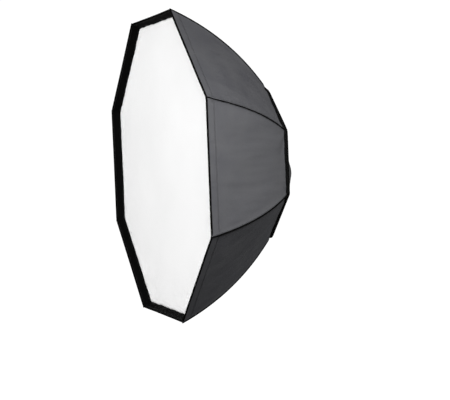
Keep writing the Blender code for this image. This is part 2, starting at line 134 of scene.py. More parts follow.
def rough(*fields, seed=0.0):
    """Smooth noise, from -1 to 1, of up to two coordinate arrays."""
    a, b = np.broadcast_arrays(*fields)
    values = [drift(x, y, seed) for x, y in zip(a.ravel().tolist(), b.ravel().tolist())]
    return np.array(values).reshape(a.shape)


def bell(x, center, width):
    return np.exp(-(((x - center) / width) ** 2))


def ease(x, low, high):
    t = np.clip((x - low) / (high - low), 0, 1)
    return t * t * (3 - 2 * t)


def spread(count, edge=0.5):
    """Values from -1 to 1 that lie closer together at both ends."""
    x = np.linspace(-1, 1, count)
    return edge * x + (1 - edge) * np.sin(0.5 * math.pi * x)


def add_object(name, data):
    made = bpy.data.objects.new(name, data)
    bpy.context.scene.collection.objects.link(made)
    return made


def make(name, verts, faces, finishes, uvs=None, smooth=True):
    mesh = bpy.data.meshes.new(name)
    mesh.from_pydata(np.asarray(verts, float).reshape(-1, 3).tolist(), [], faces)
    for finish in finishes if isinstance(finishes, (list, tuple)) else [finishes]:
        mesh.materials.append(finish)
    if uvs is not None:
        layer = mesh.uv_layers.new(name="cloth")
        loops = np.zeros(len(mesh.loops), np.int32)
        mesh.loops.foreach_get("vertex_index", loops)
        flat = np.asarray(uvs, float).reshape(-1, 2)[loops]
        layer.data.foreach_set("uv", flat.ravel())
    if smooth:
        mesh.shade_smooth()
    return add_object(name, mesh)


def grid_faces(rows, columns, wrap_rows=False, wrap_columns=False, start=0):
    faces = []
    for i in range(rows if wrap_rows else rows - 1):
        for j in range(columns if wrap_columns else columns - 1):
            a, b = (i + 1) % rows, (j + 1) % columns
            corners = ((i, j), (i, b), (a, b), (a, j))
            faces.append(tuple(start + row * columns + column for row, column in corners))
    return faces


def lengths(points):
    """Distance along a polyline at each of its points."""
    steps = np.linalg.norm(np.diff(points, axis=0), axis=1)
    return np.concatenate(([0.0], np.cumsum(steps)))


def cloth_uvs(points):
    """Distances across and along a grid of points, in metres, for a weave that keeps its real size."""
    points = np.asarray(points, float)
    across = np.stack([lengths(row) - 0.5 * lengths(row)[-1] for row in points])
    middle = points[:, points.shape[1] // 2]
    along = np.repeat(lengths(middle)[:, None], points.shape[1], 1)
    return np.stack((across, along), -1)


def sheet_grid(name, points, finishes, thickness, inner_slot=0, offset=-1.0):
    """A grid of points as a sheet, thickened behind its face."""
    rows, columns = points.shape[:2]
    made = make(name, points, grid_faces(rows, columns), finishes, cloth_uvs(points))
    thicken(made, thickness, inner_slot, offset)
    return made


def thicken(made, thickness, inner_slot=0, offset=-1.0):
    solidify = made.modifiers.new("Solidify", "SOLIDIFY")
    solidify.thickness = thickness
    solidify.offset = offset
    solidify.material_offset = inner_slot
    solidify.use_even_offset = False


def unit(vectors):
    vectors = np.asarray(vectors, float)
    return vectors / np.maximum(np.linalg.norm(vectors, axis=-1, keepdims=True), 1e-12)


def sweep(name, line, normals, profile, finish):
    """A closed (side, out) profile carried along a line, with the given outward normals."""
    line, normals = np.asarray(line, float), unit(normals)
    along = unit(np.gradient(line, axis=0))
    side = unit(np.cross(along, normals))
    out = np.cross(side, along)
    profile = np.asarray(profile, float)
    verts = line[:, None] + side[:, None] * profile[None, :, :1] + out[:, None] * profile[None, :, 1:]
    rows, columns = verts.shape[:2]
    faces = grid_faces(rows, columns, wrap_columns=True)
    faces.append(tuple(range(columns))[::-1])
    faces.append(tuple((rows - 1) * columns + j for j in range(columns)))
    around = lengths(np.vstack((profile, profile[:1])))[:-1]
    uvs = np.stack(np.broadcast_arrays(around[None], lengths(line)[:, None]), -1)
    return make(name, verts, faces, finish, uvs)


def oval(width, height, count=12, lift=0.0):
    angles = np.arange(count) * 2 * math.pi / count
    return np.stack((0.5 * width * np.cos(angles), lift + 0.5 * height * np.sin(angles)), -1)


def octagon_ring(name, profile, finish, per_sector=40, shift=None, corner=0.0):
    """A closed (flat distance, y) profile carried round eight flat sides that meet in mitres.

    shift(u, angle, flat, y) gives changes of flat distance and y, with u from -1 to 1 across each side.
    """
    profile = np.asarray(profile, float)
    u = spread(per_sector + 1, 0.6)[:-1]
    rings, places = [], []
    for k in range(SECTORS):
        for value in u:
            flat, y = profile[:, 0].copy(), profile[:, 1].copy()
            if shift is not None:
                d_flat, d_y = shift(value, k, flat, y)
                flat, y = flat + d_flat, y + d_y
            z = value * flat * TAN_HALF
            trim = corner * math.exp(-(((1 - abs(value)) * float(flat[0]) * TAN_HALF / 0.006) ** 2))
            rings.append(turned(np.stack((flat - trim, y, z), -1), 2 * HALF * k))
            places.append((2 * k + value) * FRONT_FLAT * TAN_HALF)
    verts = np.array(rings)
    rows, columns = verts.shape[:2]
    around = lengths(np.vstack((profile, profile[:1])))[:-1]
    uvs = np.stack(np.broadcast_arrays(np.array(places)[:, None], around[None]), -1)
    return make(name, verts, grid_faces(rows, columns, True, True), finish, uvs)


def sample(at, run, values):
    """Rows of values, known at each distance in run, at other distances."""
    return np.stack([np.interp(at, run, values[:, i]) for i in range(3)], -1)


def stitches(name, rows, finish, pitch=0.0034, length=0.0027, width=0.00065):
    """Thread on a seam. Each row is (points, normals) along which it runs, half of it sunk in the cloth."""
    rings = [(-0.5, 0.25), (-0.32, 0.85), (0.0, 1.0), (0.32, 0.85), (0.5, 0.25)]
    around = 6
    template = np.array(
        [
            (x * length, 0.5 * width * r * math.cos(a), 0.5 * width * r * math.sin(a))
            for x, r in rings
            for a in (2 * math.pi * j / around for j in range(around))
        ]
    )
    ring_faces = np.array(grid_faces(len(rings), around, wrap_columns=True))
    verts, faces = [], []
    for points, normals in rows:
        points, normals = np.asarray(points, float), np.asarray(normals, float)
        run = lengths(points)
        count = int(run[-1] / pitch)
        at = (np.arange(count) + 0.5) * run[-1] / count
        center = sample(at, run, points)
        ahead, behind = (sample(at + step * pitch, run, points) for step in (0.4, -0.4))
        out = unit(sample(at, run, normals))
        along = unit(ahead - behind)
        side = unit(np.cross(along, out))
        out = np.cross(side, along)
        threads = (
            (center + 0.15 * width * out)[:, None]
            + along[:, None] * template[None, :, :1]
            + side[:, None] * template[None, :, 1:2]
            + out[:, None] * template[None, :, 2:]
        )
        for one in threads:
            faces.extend((ring_faces + len(verts) * len(template)).tolist())
            verts.append(one)
    return make(name, np.array(verts), faces, finish)


# ---------------- materials
class Nodes:
    """Short names for building a material's node tree."""

    def __init__(self, name):
        self.material = bpy.data.materials.new(name)
        self.material.use_nodes = True
        self.tree = self.material.node_tree
        self.shader = self.tree.nodes["Principled BSDF"]

    def add(self, kind, **values):
        node = self.tree.nodes.new(kind)
        for key, value in values.items():
            setattr(node, key, value)
        return node

    def feed(self, socket, value):
        """Link a socket to another node's output, or set it to a plain value."""
        if isinstance(value, bpy.types.NodeSocket):
            self.tree.links.new(value, socket)
        else:
            socket.default_value = value

    def put(self, node, **inputs):
        for key, value in inputs.items():
            self.feed(node.inputs[key.replace("_", " ")], value)
        return node

    def finish(self, **inputs):
        """Set the shader's own inputs and give back the material."""
        self.put(self.shader, **inputs)
        return self.material

    def math(self, operation, *values):
        node = self.add("ShaderNodeMath", operation=operation)
        for socket, value in zip(node.inputs, values):
            self.feed(socket, value)
        return node.outputs[0]

    def ramp(self, value, low, high, to_low, to_high):
        node = self.add("ShaderNodeMapRange", clamp=True)
        self.put(node, Value=value)
        for socket, number in zip(node.inputs[1:5], (low, high, to_low, to_high)):
            socket.default_value = number
        return node.outputs[0]

    def mix(self, factor, first, second):
        node = self.add("ShaderNodeMix", data_type="RGBA")
        for socket, value in ((0, factor), (6, first), (7, second)):
            self.feed(node.inputs[socket], value)
        return node.outputs[2]

    def noise(self, scale, detail, roughness, vector=None):
        vector = vector or self.place()
        node = self.add("ShaderNodeTexNoise")
        self.put(node, Scale=scale, Detail=detail, Roughness=roughness, Vector=vector)
        return node.outputs["Fac"]

    def bump(self, height, distance, strength, **below):
        node = self.add("ShaderNodeBump")
        return self.put(node, Height=height, Distance=distance, Strength=strength, **below).outputs[0]

    def place(self):
        return self.add("ShaderNodeTexCoord").outputs["Object"]

    def cloth(self):
        """(across, along) in metres, from the map that every cloth piece carries."""
        split = self.add("ShaderNodeSeparateXYZ")
        self.feed(split.inputs[0], self.add("ShaderNodeUVMap", uv_map="cloth").outputs[0])
        return split.outputs[0], split.outputs[1]


def shade(value):
    """An RGBA grey or colour."""
    return (value, value, value, 1.0) if isinstance(value, float) else (*value, 1.0)


def woven(name, color, color_2, pitch, depth, roughness, specular, cast=30.0, ribs=False):
    """Cloth: yarns that pass over and under each other, with uneven dye, a little lint and painted shade in
    the hollows between the yarns.
    """
    n = Nodes(name)
    across, along = n.cloth()
    turn = 2 * math.pi / pitch
    warp = n.math("SINE", n.math("MULTIPLY", across, turn))
    weft = n.math("SINE", n.math("MULTIPLY", along, turn))
    if ribs:
        height = n.math("MULTIPLY", n.math("ABSOLUTE", weft), n.ramp(warp, -1, 1, 0.8, 1.0))
    else:
        height = n.ramp(n.math("MULTIPLY", warp, weft), -1, 1, 0, 1)
    blotch = n.noise(cast, 3.0, 0.6)
    fine = n.noise(900.0, 2.0, 0.6)
    mottle = n.math("ADD", n.math("MULTIPLY", blotch, 0.8), n.math("MULTIPLY", fine, 0.2))
    tone = n.ramp(mottle, 0.35, 0.65, 0, 1)
    base = n.mix(tone, shade(color), shade(color_2))
    between = 0.5 * color if isinstance(color, float) else tuple(0.5 * c for c in color)
    # painted shade: the weave's low parts are mixed towards half the cloth's colour
    yarn_shaded_color = n.mix(n.ramp(height, 0, 0.5, 0.35, 0.0), base, shade(between))
    coarse = n.bump(n.noise(60.0, 3.0, 0.55), 0.0006, 0.35)
    return n.finish(
        Base_Color=yarn_shaded_color,
        Roughness=n.ramp(blotch, 0.3, 0.7, roughness - 0.06, roughness + 0.06),
        Specular_IOR_Level=specular,
        Normal=n.bump(height, depth, 0.7, Normal=coarse),
    )


def pile(name, color, scale=1400.0):
    """Hook or loop tape: a dense field of tiny tufts, with painted shade between them."""
    n = Nodes(name)
    tufts = n.add("ShaderNodeTexVoronoi")
    n.put(tufts, Scale=scale, Vector=n.place())
    height = n.ramp(tufts.outputs["Distance"], 0.0, 0.7, 1.0, 0.0)
    lint = n.noise(120.0, 3.0, 0.6)
    # painted shade: the colour falls to 0.4 of the tape's own between the tufts
    return n.finish(
        Base_Color=n.mix(n.ramp(height, 0, 1, 0, 1), shade(0.4 * color), shade(color)),
        Roughness=n.ramp(lint, 0.3, 0.7, 0.85, 1.0),
        Specular_IOR_Level=0.08,
        Sheen_Weight=0.05,
        Normal=n.bump(height, 0.0006, 0.8),
    )


def metal(name, color, roughness, metallic=1.0):
    """Turned or drawn metal: fine machining lines, small stains and worn brighter spots."""
    n = Nodes(name)
    grain, depth = (1.0, 60.0, 1.0), 0.00004
    stretch = n.add("ShaderNodeMapping")
    n.put(stretch, Vector=n.place())
    stretch.inputs["Scale"].default_value = grain
    lines = n.noise(40.0, 4.0, 0.7, stretch.outputs[0])
    stain = n.noise(35.0, 4.0, 0.6)
    stained = shade(tuple(0.82 * c for c in color))
    return n.finish(
        Base_Color=n.mix(n.ramp(stain, 0.35, 0.7, 0, 1), shade(color), stained),
        Roughness=n.ramp(stain, 0.3, 0.7, roughness - 0.05, roughness + 0.1),
        Metallic=metallic,
        Normal=n.bump(lines, depth, 0.6),
    )


def plastic(name, color, roughness, grain=900.0):
    """Moulded plastic with a spark-eroded grain."""
    n = Nodes(name)
    stain = n.noise(70.0, 3.0, 0.6)
    return n.finish(
        Base_Color=n.mix(n.ramp(stain, 0.3, 0.7, 0, 1), shade(color), shade(1.5 * color)),
        Roughness=n.ramp(stain, 0.3, 0.7, roughness - 0.05, roughness + 0.07),
        Normal=n.bump(n.noise(grain, 2.0, 0.6), 0.0001, 0.4),
    )


SHELL = woven(
    "shell_nylon", (0.067, 0.0675, 0.075), (0.082, 0.0825, 0.088), 0.0011, 0.00012, 0.62, 0.25, cast=16.0
)
SILVER = woven("silver_lining", 0.50, 0.56, 0.0011, 0.00010, 0.38, 0.5, cast=9.0)
SILVER.node_tree.nodes["Principled BSDF"].inputs["Metallic"].default_value = 0.75
BINDING = woven("black_binding", 0.0014, 0.0024, 0.0016, 0.00020, 0.85, 0.03, ribs=True)
WEBBING = woven("black_webbing", 0.0014, 0.0026, 0.0022, 0.00035, 0.8, 0.05, ribs=True)
THREAD = plastic("black_thread", 0.006, 0.75, 2500.0)
WHITE_CLOTH = woven("diffuser_nylon", 0.86, 0.89, 0.0008, 0.00006, 0.75, 0.15, cast=6.0)
WHITE_TAPE = woven("white_elastic", 0.62, 0.70, 0.0016, 0.00025, 0.85, 0.15, ribs=True)
WHITE_THREAD = plastic("white_thread", 0.55, 0.7, 2500.0)
FLAP_CLOTH = woven(
    "flap_nylon", (0.050, 0.051, 0.053), (0.062, 0.0625, 0.064), 0.0011, 0.00012, 0.68, 0.2, cast=14.0
)
LOOP = pile("loop_pile", 0.010)
HOOK = pile("hook_pile", 0.014, 900.0)


# ---------------- shell panels
HEM_ROWS = (0.0245, 0.0275)
NEAR_PANEL = 0


def panel_distance(t):
    """Arc length from the rim at t, along the middle of a panel."""
    ts = np.linspace(0, 1, 200)
    points = bow(ts)
    run = lengths(np.stack((points[:, 0] * COS_HALF, points[:, 1]), -1))
    return np.interp(t, ts, run)


def panel_at(distance):
    ts = np.linspace(0, 1, 200)
    return np.interp(distance, panel_distance(ts), ts)


def panel_relief(k, u, t):
    """How far a panel stands proud of the flat cut between its ribs, in metres."""
    run = panel_distance(t)
    half_width = bow(t)[..., 0] * SIN_HALF
    seam = (1 - np.abs(u)) * half_width
    across = u * half_width
    end = panel_distance(1.0)
    taut = np.sin(math.pi * np.clip((run - 0.045) / (end - 0.045), 0, 1)) ** 1.2
    relief = -0.0042 * taut * (1 - u * u)
    side = np.where(u > 0, 1.0, 2.0) + 7.0 * k
    # rolled edges beside the piping, with puckers that die out into the cloth
    ridge = np.exp(-np.maximum(seam - 0.0022, 0.0) / 0.0042) * ease(seam, -0.0012, 0.0022)
    relief += 0.0013 * ridge * ease(run, 0.003, 0.012)
    pucker = rough(run * 62.0, side, seed=3.1)
    relief += 0.0008 * pucker * np.exp(-seam / 0.014) * ease(seam, 0.0, 0.003)
    # hem: doubled cloth in front of two rows of stitches
    fade = 1.0 - 0.45 * ease(-u, -0.36, -0.30) * (k == NEAR_PANEL)
    for row in HEM_ROWS:
        relief -= 0.00075 * fade * bell(run, row, 0.0010)
    relief += 0.00045 * (1 - ease(run, HEM_ROWS[0] - 0.002, HEM_ROWS[1] + 0.002))
    gather = rough(across * 75.0, run * 12.0 + 5.0 * k, seed=8.7)
    relief += 0.00045 * gather * bell(run, 0.027, 0.011)
    # long soft wrinkles from the rim to the band, and slight diagonal ones out of the corners
    long_waves = rough(across * 26.0 + 0.6 * np.sin(run * 14.0 + k), run * 4.0 + 11.0 * k, seed=1.3)
    fine_waves = rough(across * 60.0, run * 10.0 + 3.0 * k, seed=5.9)
    calm = ease(seam, 0.004, 0.03) * (0.25 + 0.75 * ease(run, 0.035, 0.075))
    swell = 1.5 if k == NEAR_PANEL else 1.1
    relief += swell * (0.0011 * long_waves + 0.00045 * fine_waves) * calm
    for sign in (-1.0, 1.0):
        lean = (half_width - sign * across) / np.maximum(end + 0.006 - run, 0.006)
        rays = np.sin(9.0 * np.arctan(lean) + 2.0 * k + sign)
        relief += 0.0009 * rays * bell(end - run, 0.0, 0.075) * calm
        lean = (half_width - sign * across) / np.maximum(run + 0.012, 0.012)
        rays = np.sin(7.0 * np.arctan(lean) + 1.3 * k - sign)
        relief += 0.0007 * rays * bell(run, 0.02, 0.10) * calm
    if k == NEAR_PANEL:
        # a joint in the hem and two small pinches in front of it
        relief -= 0.0011 * bell(u, 0.355, 0.010) * (1 - ease(run, 0.022, 0.030))
        relief += 0.0006 * bell(u, 0.385, 0.020) * (1 - ease(run, 0.022, 0.030))
        for at, depth in ((-0.235, 0.0012), (-0.300, 0.0015), (-0.345, 0.0008)):
            relief -= depth * bell(u, at, 0.012) * bell(run, 0.011, 0.008)
        # the hem's doubled end, caught in the upper seam
        relief -= 0.0016 * bell(half_width - across, 0.010, 0.0045) * bell(run, 0.0215, 0.0050)
    return relief


def flat_normal(t):
    """(distance, y) normal of a panel's flat at t."""
    slope = bow_slope(t)
    return unit(np.stack((slope[..., 1], -slope[..., 0] * COS_HALF), -1))


def panel_points(k, u, t, out=0.0):
    """Points on panel k's face: u from -1 to 1 across, t from 0 at the rim to 1 at the bow's end."""
    u, t = np.broadcast_arrays(np.asarray(u, float), np.asarray(t, float))
    radius, y = bow(t)[..., 0], bow(t)[..., 1]
    normal = flat_normal(t)
    lift = panel_relief(k, u, t) + out
    half_width = radius * SIN_HALF - 0.0005
    points = np.stack(
        (radius * COS_HALF + lift * normal[..., 0], y + lift * normal[..., 1], u * half_width), -1
    )
    return turned(points, 2 * HALF * k)


def panel_normals(k, t):
    out, rear = np.moveaxis(flat_normal(t), -1, 0)
    return turned(np.stack((out, rear, np.zeros_like(out)), -1), 2 * HALF * k)


def shell():
    u = spread(105, 0.36)
    length = float(panel_distance(REAR_T))
    hem_end = HEM_ROWS[1] + 0.004
    dense = np.linspace(HEM_ROWS[0] - 0.004, hem_end, 27)
    runs = np.concatenate((np.linspace(0, dense[0], 8)[:-1], dense, np.linspace(hem_end, length, 84)[1:]))
    t = panel_at(runs)
    seam_rows, hem_rows = [], []
    for k in range(SECTORS):
        points = panel_points(k, u[None, ::-1], t[:, None])
        panel = sheet_grid(f"shell_panel_{k + 1}", points, [SHELL, SILVER], 0.0008, 1)
        placed(panel, "softbox", "shell_fabric", f"side_panel_{k + 1}")
        for row in HEM_ROWS:
            at = float(panel_at(row))
            line = panel_points(k, np.linspace(-0.965, 0.965, 90), at, 0.0001)
            hem_rows.append((line, panel_normals(k, np.full(90, at))))
        for sign in (-1, 1):
            seam_t = panel_at(np.linspace(0.0075, length - 0.002, 100))
            beside = 0.0034 / (bow(seam_t)[:, 0] * SIN_HALF)
            line = panel_points(k, sign * (1 - beside), seam_t, 0.0001)
            seam_rows.append((line, panel_normals(k, seam_t)))
    for name, rows in (("hem_stitches", hem_rows), ("seam_stitches", seam_rows)):
        made = stitches(name, rows, THREAD)
        placed(made, "softbox", "trim_fabric")


# the cord lies a little to one side of its seam, the same way round on every rib
PIPING_ASIDE = 0.0014


def rib_piping():
    """A covered cord sewn in between each two panels, over the rod."""
    t = np.linspace(-0.002, 1.0, 112)
    radius, y = bow(t)[:, 0], bow(t)[:, 1]
    slope = bow_slope(t)
    outward = unit(np.stack((slope[:, 1], -slope[:, 0]), -1))
    for k in range(SECTORS):
        wobble = 0.00025 * rough(t * 30.0, 9.0 * k + 0.5, seed=2.2) - PIPING_ASIDE * ease(t, 0.02, 0.06)
        lift = 0.0007 - 0.0019 * ease(t, 0.972, 1.0)
        line = np.stack((radius + lift * outward[:, 0], y + lift * outward[:, 1], wobble), -1)
        normal = np.stack((outward[:, 0], outward[:, 1], np.zeros_like(y)), -1)
        angle = HALF * (2 * k + 1)
        cord = sweep(f"rib_piping_{k + 1}", *laid(line, normal, angle), oval(0.0033, 0.0050), BINDING)
        placed(cord, "softbox", "trim_fabric")
        flange = oval(0.0012, 0.0050, 8, -0.0042)
        inside = laid(line[14:-6], normal[14:-6], angle)
        fin = sweep(f"seam_allowance_{k + 1}", *inside, flange, WHITE_TAPE)
        placed(fin, "softbox", "trim_fabric")


# ---------------- front rim
def rim_wobble(u, k, flat, y):
    """The hem isn't pulled quite evenly round the rods' tips."""
    place = (k + 0.5 * u) * 3.0
    depth = np.clip((y - FRONT_Y) / RECESS, 0, 1)
    sway = 0.0006 * drift(place, 0.3, 4.4)
    kink = 0.0026 * drift(place * 5.0, 2.1, 0.7) * depth**2
    bend = -0.0008 * (1 - u * u) - kink
    return bend + sway * (1 - depth), 0.0009 * drift(place * 3.0, 7.7, 1.9) * depth


# the rim's rolled front edge, from inside the shell's face round to the front
RIM_EDGE = (
    (0.0012, 0.0012),
    (0.0040, -0.0002),
    (0.0043, -0.0010),
    (0.0024, -0.0015),
    (0.0004, -0.0013),
    (0.0, -0.0006, 0.0006),
    (0.0, 0.0006, 0.0011),
    (0.0, 0.0020, 0.0008),
    (0.0, 0.0029, -0.0002),
)


def rim_spot(depth, inset, ahead=0.0):
    """(flat distance, y) this deep behind the front edge, inset from the shell's face, moved ahead."""
    return float(shell_flat(FRONT_Y + depth, inset)), FRONT_Y + depth - ahead


def front_rim():
    back = RECESS - 0.0004
    depths = np.linspace(0.0016, back, 14)
    inner = [rim_spot(d, 0.0032 + 0.0003 * math.sin(0.9 * i)) for i, d in enumerate(depths)]
    middle = [rim_spot(d, 0.0020) for d in depths[::-1]]
    edge = [rim_spot(*place) for place in RIM_EDGE]
    profile = edge + inner + middle
    rim = octagon_ring("front_hem", profile, BINDING, 60, rim_wobble, 0.0012)
    placed(rim, "softbox", "trim_fabric", "front_lip")
    rows = []
    for k in range(SECTORS):
        for depth, out in ((0.0031, -1.0), (0.0036, 1.0), (0.0205, 1.0)):
            u = np.linspace(-0.97, 0.97, 100)
            flat = float(shell_flat(FRONT_Y + depth, -0.0015 if out < 0 else 0.0033))
            at = (np.array([flat]), np.array([FRONT_Y + depth]))
            bend = np.array([rim_wobble(x, k, *at)[0][0] for x in u])
            line = np.stack((flat + bend, np.full_like(u, FRONT_Y + depth), u * flat * TAN_HALF), -1)
            rows.append(laid(line, (-out * 0.94, -out * 0.33, 0.0), 2 * HALF * k))
    sewn = stitches("rim_stitches", rows, THREAD, width=0.0006)
    placed(sewn, "softbox", "trim_fabric")


def strip_between(y_low, y_high, inset_outer, inset_inner, steps=6):
    ys = np.linspace(y_low, y_high, steps)
    outer = [(float(shell_flat(y, inset_outer)), y) for y in ys[::-1]]
    inner = [(float(shell_flat(y, inset_inner)), y) for y in ys]
    return outer + inner


def loop_tape():
    tape = octagon_ring("loop_tape", strip_between(TAPE_FRONT, TAPE_REAR, 0.0020, 0.0032), LOOP, 36)
    placed(tape, "softbox", "trim_fabric", "loop_strip")


# ---------------- diffusers
def octagon_disc(rings, per_sector, edge):
    """Polar grid points (x, z) of an octagon, where edge(u, k) is the flat distance at its outer ring."""
    rho = np.linspace(0, 1, rings + 1)[1:] ** 0.85
    columns = []
    for k in range(SECTORS):
        for u in spread(per_sector + 1, 0.7)[:-1]:
            flat = edge(u, k)
            corner = turned((flat, 0.0, u * flat * TAN_HALF), 2 * HALF * k)
            columns.append((corner[0], corner[2]))
    return rho[:, None, None] * np.array(columns)[None]


def disc_faces(rings, columns):
    """Faces of a polar grid whose vertex 0 is its centre. They face -Y."""
    faces = [(0, 1 + j, 1 + (j + 1) % columns) for j in range(columns)]
    return faces + [f[::-1] for f in grid_faces(rings, columns, wrap_columns=True, start=1)]


def disc_sheet(name, plane, height, finish, thickness):
    """A sheet across the Y axis, from polar (x, z) points and their y."""
    rings, columns = plane.shape[:2]
    points = np.stack((plane[..., 0], height, plane[..., 1]), -1).reshape(-1, 3)
    center = np.array([[0.0, float(height[0].mean()), 0.0]])
    verts = np.vstack((center, points))
    made = make(name, verts, disc_faces(rings, columns), finish, verts[:, (0, 2)])
    thicken(made, thickness)
    return made


def front_diffuser():
    front = FRONT_Y + RECESS
    rim_flat = float(shell_flat(front, 0.0040))

    def edge(u, k):
        place = (k + 0.5 * u) * 3.0
        slack = 0.0019 * drift(place * 5.0, 2.1, 0.7)
        return rim_flat - 0.0008 * (1 - u * u) - slack - 0.0012 * max(0.0, abs(u) - 0.94) / 0.06

    plane = octagon_disc(60, 44, edge)
    x, z = plane[..., 0], plane[..., 1]
    reach = np.hypot(x, z) / FRONT_FLAT
    height = 0.0018 * rough(x * 5.0, z * 5.0, seed=6.1) * (1 - ease(reach, 0.8, 1.0))
    for k in range(SECTORS):
        angle = HALF * (2 * k + 1)
        along = x * math.cos(angle) + z * math.sin(angle)
        aside = -x * math.sin(angle) + z * math.cos(angle)
        near = FRONT_RADIUS - along
        rays = np.sin(26.0 * np.arctan2(aside, near + 0.012) + 1.7 * k)
        height = height + 0.0007 * rays * np.exp(-near / 0.07) * ease(near, 0.004, 0.03)
    flat_reach = np.max(
        [x * math.cos(2 * HALF * k) + z * math.sin(2 * HALF * k) for k in range(SECTORS)], axis=0
    )
    hem = rim_flat - flat_reach
    height = height + 0.0006 * ease(hem, 0.0135, 0.0165) - 0.0005 * bell(hem, 0.015, 0.0012)
    gather = rough(np.arctan2(z, x) * 34.0, reach * 6.0, seed=9.9)
    height = height + 0.0007 * gather * bell(hem, 0.012, 0.014)
    sheet = disc_sheet("diffuser_cloth", plane, front + height, WHITE_CLOTH, 0.0007)
    placed(sheet, "front_diffuser", "diffuser_fabric", "front_diffuser")
    rows, skirts = [], []
    for k in range(SECTORS):
        u = np.linspace(-0.95, 0.95, 90)
        flat = rim_flat - 0.015
        line = np.stack((np.full_like(u, flat), np.full_like(u, front + 0.0001), u * flat * TAN_HALF), -1)
        rows.append(laid(line, (0.0, -1.0, 0.0), 2 * HALF * k))
        skirts.append(skirt(k, front))
    sewn = stitches("diffuser_stitches", rows, WHITE_THREAD, width=0.0006)
    placed(sewn, "front_diffuser", "diffuser_fabric")


def skirt(k, front):
    """Hook tape on the diffuser's returned edge, left out round the rods' tips."""
    half = float(shell_flat(front)) * TAN_HALF - 0.024
    z = np.linspace(-half, half, 60)
    y = np.linspace(front + 0.0011, DIFFUSER_REAR, 8)
    flat = shell_flat(y, 0.0043)
    wave = 0.00012 * rough(z[None] * 60.0, y[:, None] * 40.0 + 3.0 * k, seed=4.0)
    points = np.stack(np.broadcast_arrays(flat[:, None] + wave, y[:, None], z[None, ::-1]), -1)
    made = sheet_grid(f"diffuser_skirt_{k + 1}", turned(points, 2 * HALF * k), HOOK, 0.0006, 0, 0.0)
    placed(made, "front_diffuser", "diffuser_fabric")
    return made


def cad_points(stem, k):
    """Vertices of a CAD node that lies on rib k, turned so that the rib lies along +X."""
    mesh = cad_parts[f"{stem}_{k + 1}"].data
    return turned(np.array([v.co for v in mesh.vertices]), -HALF * (2 * k + 1))


def rod_line(k):
    """Centre line of rod k's CAD tube, as (radius, y) points from its rear end to its tip."""
    flat = cad_points("rod", k)
    order = np.argsort(-flat[:, 1])
    groups = np.array_split(flat[order], 24)
    return np.array([(g[:, 0].mean(), g[:, 1].mean()) for g in groups])


def inner_diffuser():
    rod = rod_line(0)
    rod_radius = float(np.interp(BAFFLE_Y, rod[::-1, 1], rod[::-1, 0]))
    flat = BAFFLE_RADIUS * COS_HALF

    def edge(u, k):
        return flat * (1 - 0.055 * math.cos(0.5 * math.pi * u) ** 1.5)

    plane = octagon_disc(44, 30, edge)
    x, z = plane[..., 0], plane[..., 1]
    reach = np.hypot(x, z) / BAFFLE_RADIUS
    height = 0.0035 * rough(x * 6.0, z * 6.0, seed=7.4) * (1 - reach**2)
    for k in range(SECTORS):
        angle = HALF * (2 * k + 1)
        near = BAFFLE_RADIUS - (x * math.cos(angle) + z * math.sin(angle))
        aside = -x * math.sin(angle) + z * math.cos(angle)
        rays = np.sin(15.0 * np.arctan2(aside, near + 0.02) + k)
        height = height + 0.0012 * rays * np.exp(-near / 0.09) * ease(near, 0.006, 0.03)
    sheet = disc_sheet("baffle_cloth", plane, BAFFLE_Y - 0.0003 + height, WHITE_CLOTH, 0.0006)
    placed(sheet, "softbox", "diffuser_fabric", "inner_diffuser")
    pieces = [baffle_hem(edge)]
    for k in range(SECTORS):
        pieces += baffle_corner(k, rod_radius)


def baffle_hem(edge):
    """Folded white binding round the inner diffuser's hollow edges."""
    ring = []
    for k in range(SECTORS):
        for u in spread(41, 0.7)[:-1]:
            flat = edge(u, k) - 0.0040
            ring.append(turned((flat, BAFFLE_Y, u * flat * TAN_HALF), 2 * HALF * k))
    ring = np.array(ring)
    outward = unit(np.stack((ring[:, 0], 0 * ring[:, 1], ring[:, 2]), -1))
    half = [(0.0018, -0.0045), (0.0021, 0.0), (0.0016, 0.0040)]
    profile = half + [(-x, y) for x, y in reversed(half)]
    verts = np.array(
        [[p + o * b + np.array((0.0, a, 0.0)) for a, b in profile] for p, o in zip(ring, outward)]
    )
    rows, columns = verts.shape[:2]
    around = np.arange(rows) * 0.0058
    uvs = np.stack(np.broadcast_arrays(around[:, None], np.arange(columns)[None] * 0.003), -1)
    made = make("baffle_hem", verts, grid_faces(rows, columns, True, True), WHITE_TAPE, uvs)
    placed(made, "softbox", "diffuser_fabric")
    return made


# a sewn box with one diagonal, as (distance, z)
BOX_STITCH = (
    (0.002, -0.005), (0.012, -0.005), (0.012, 0.005), (0.002, 0.005), (0.002, -0.005), (0.012, 0.005)
)


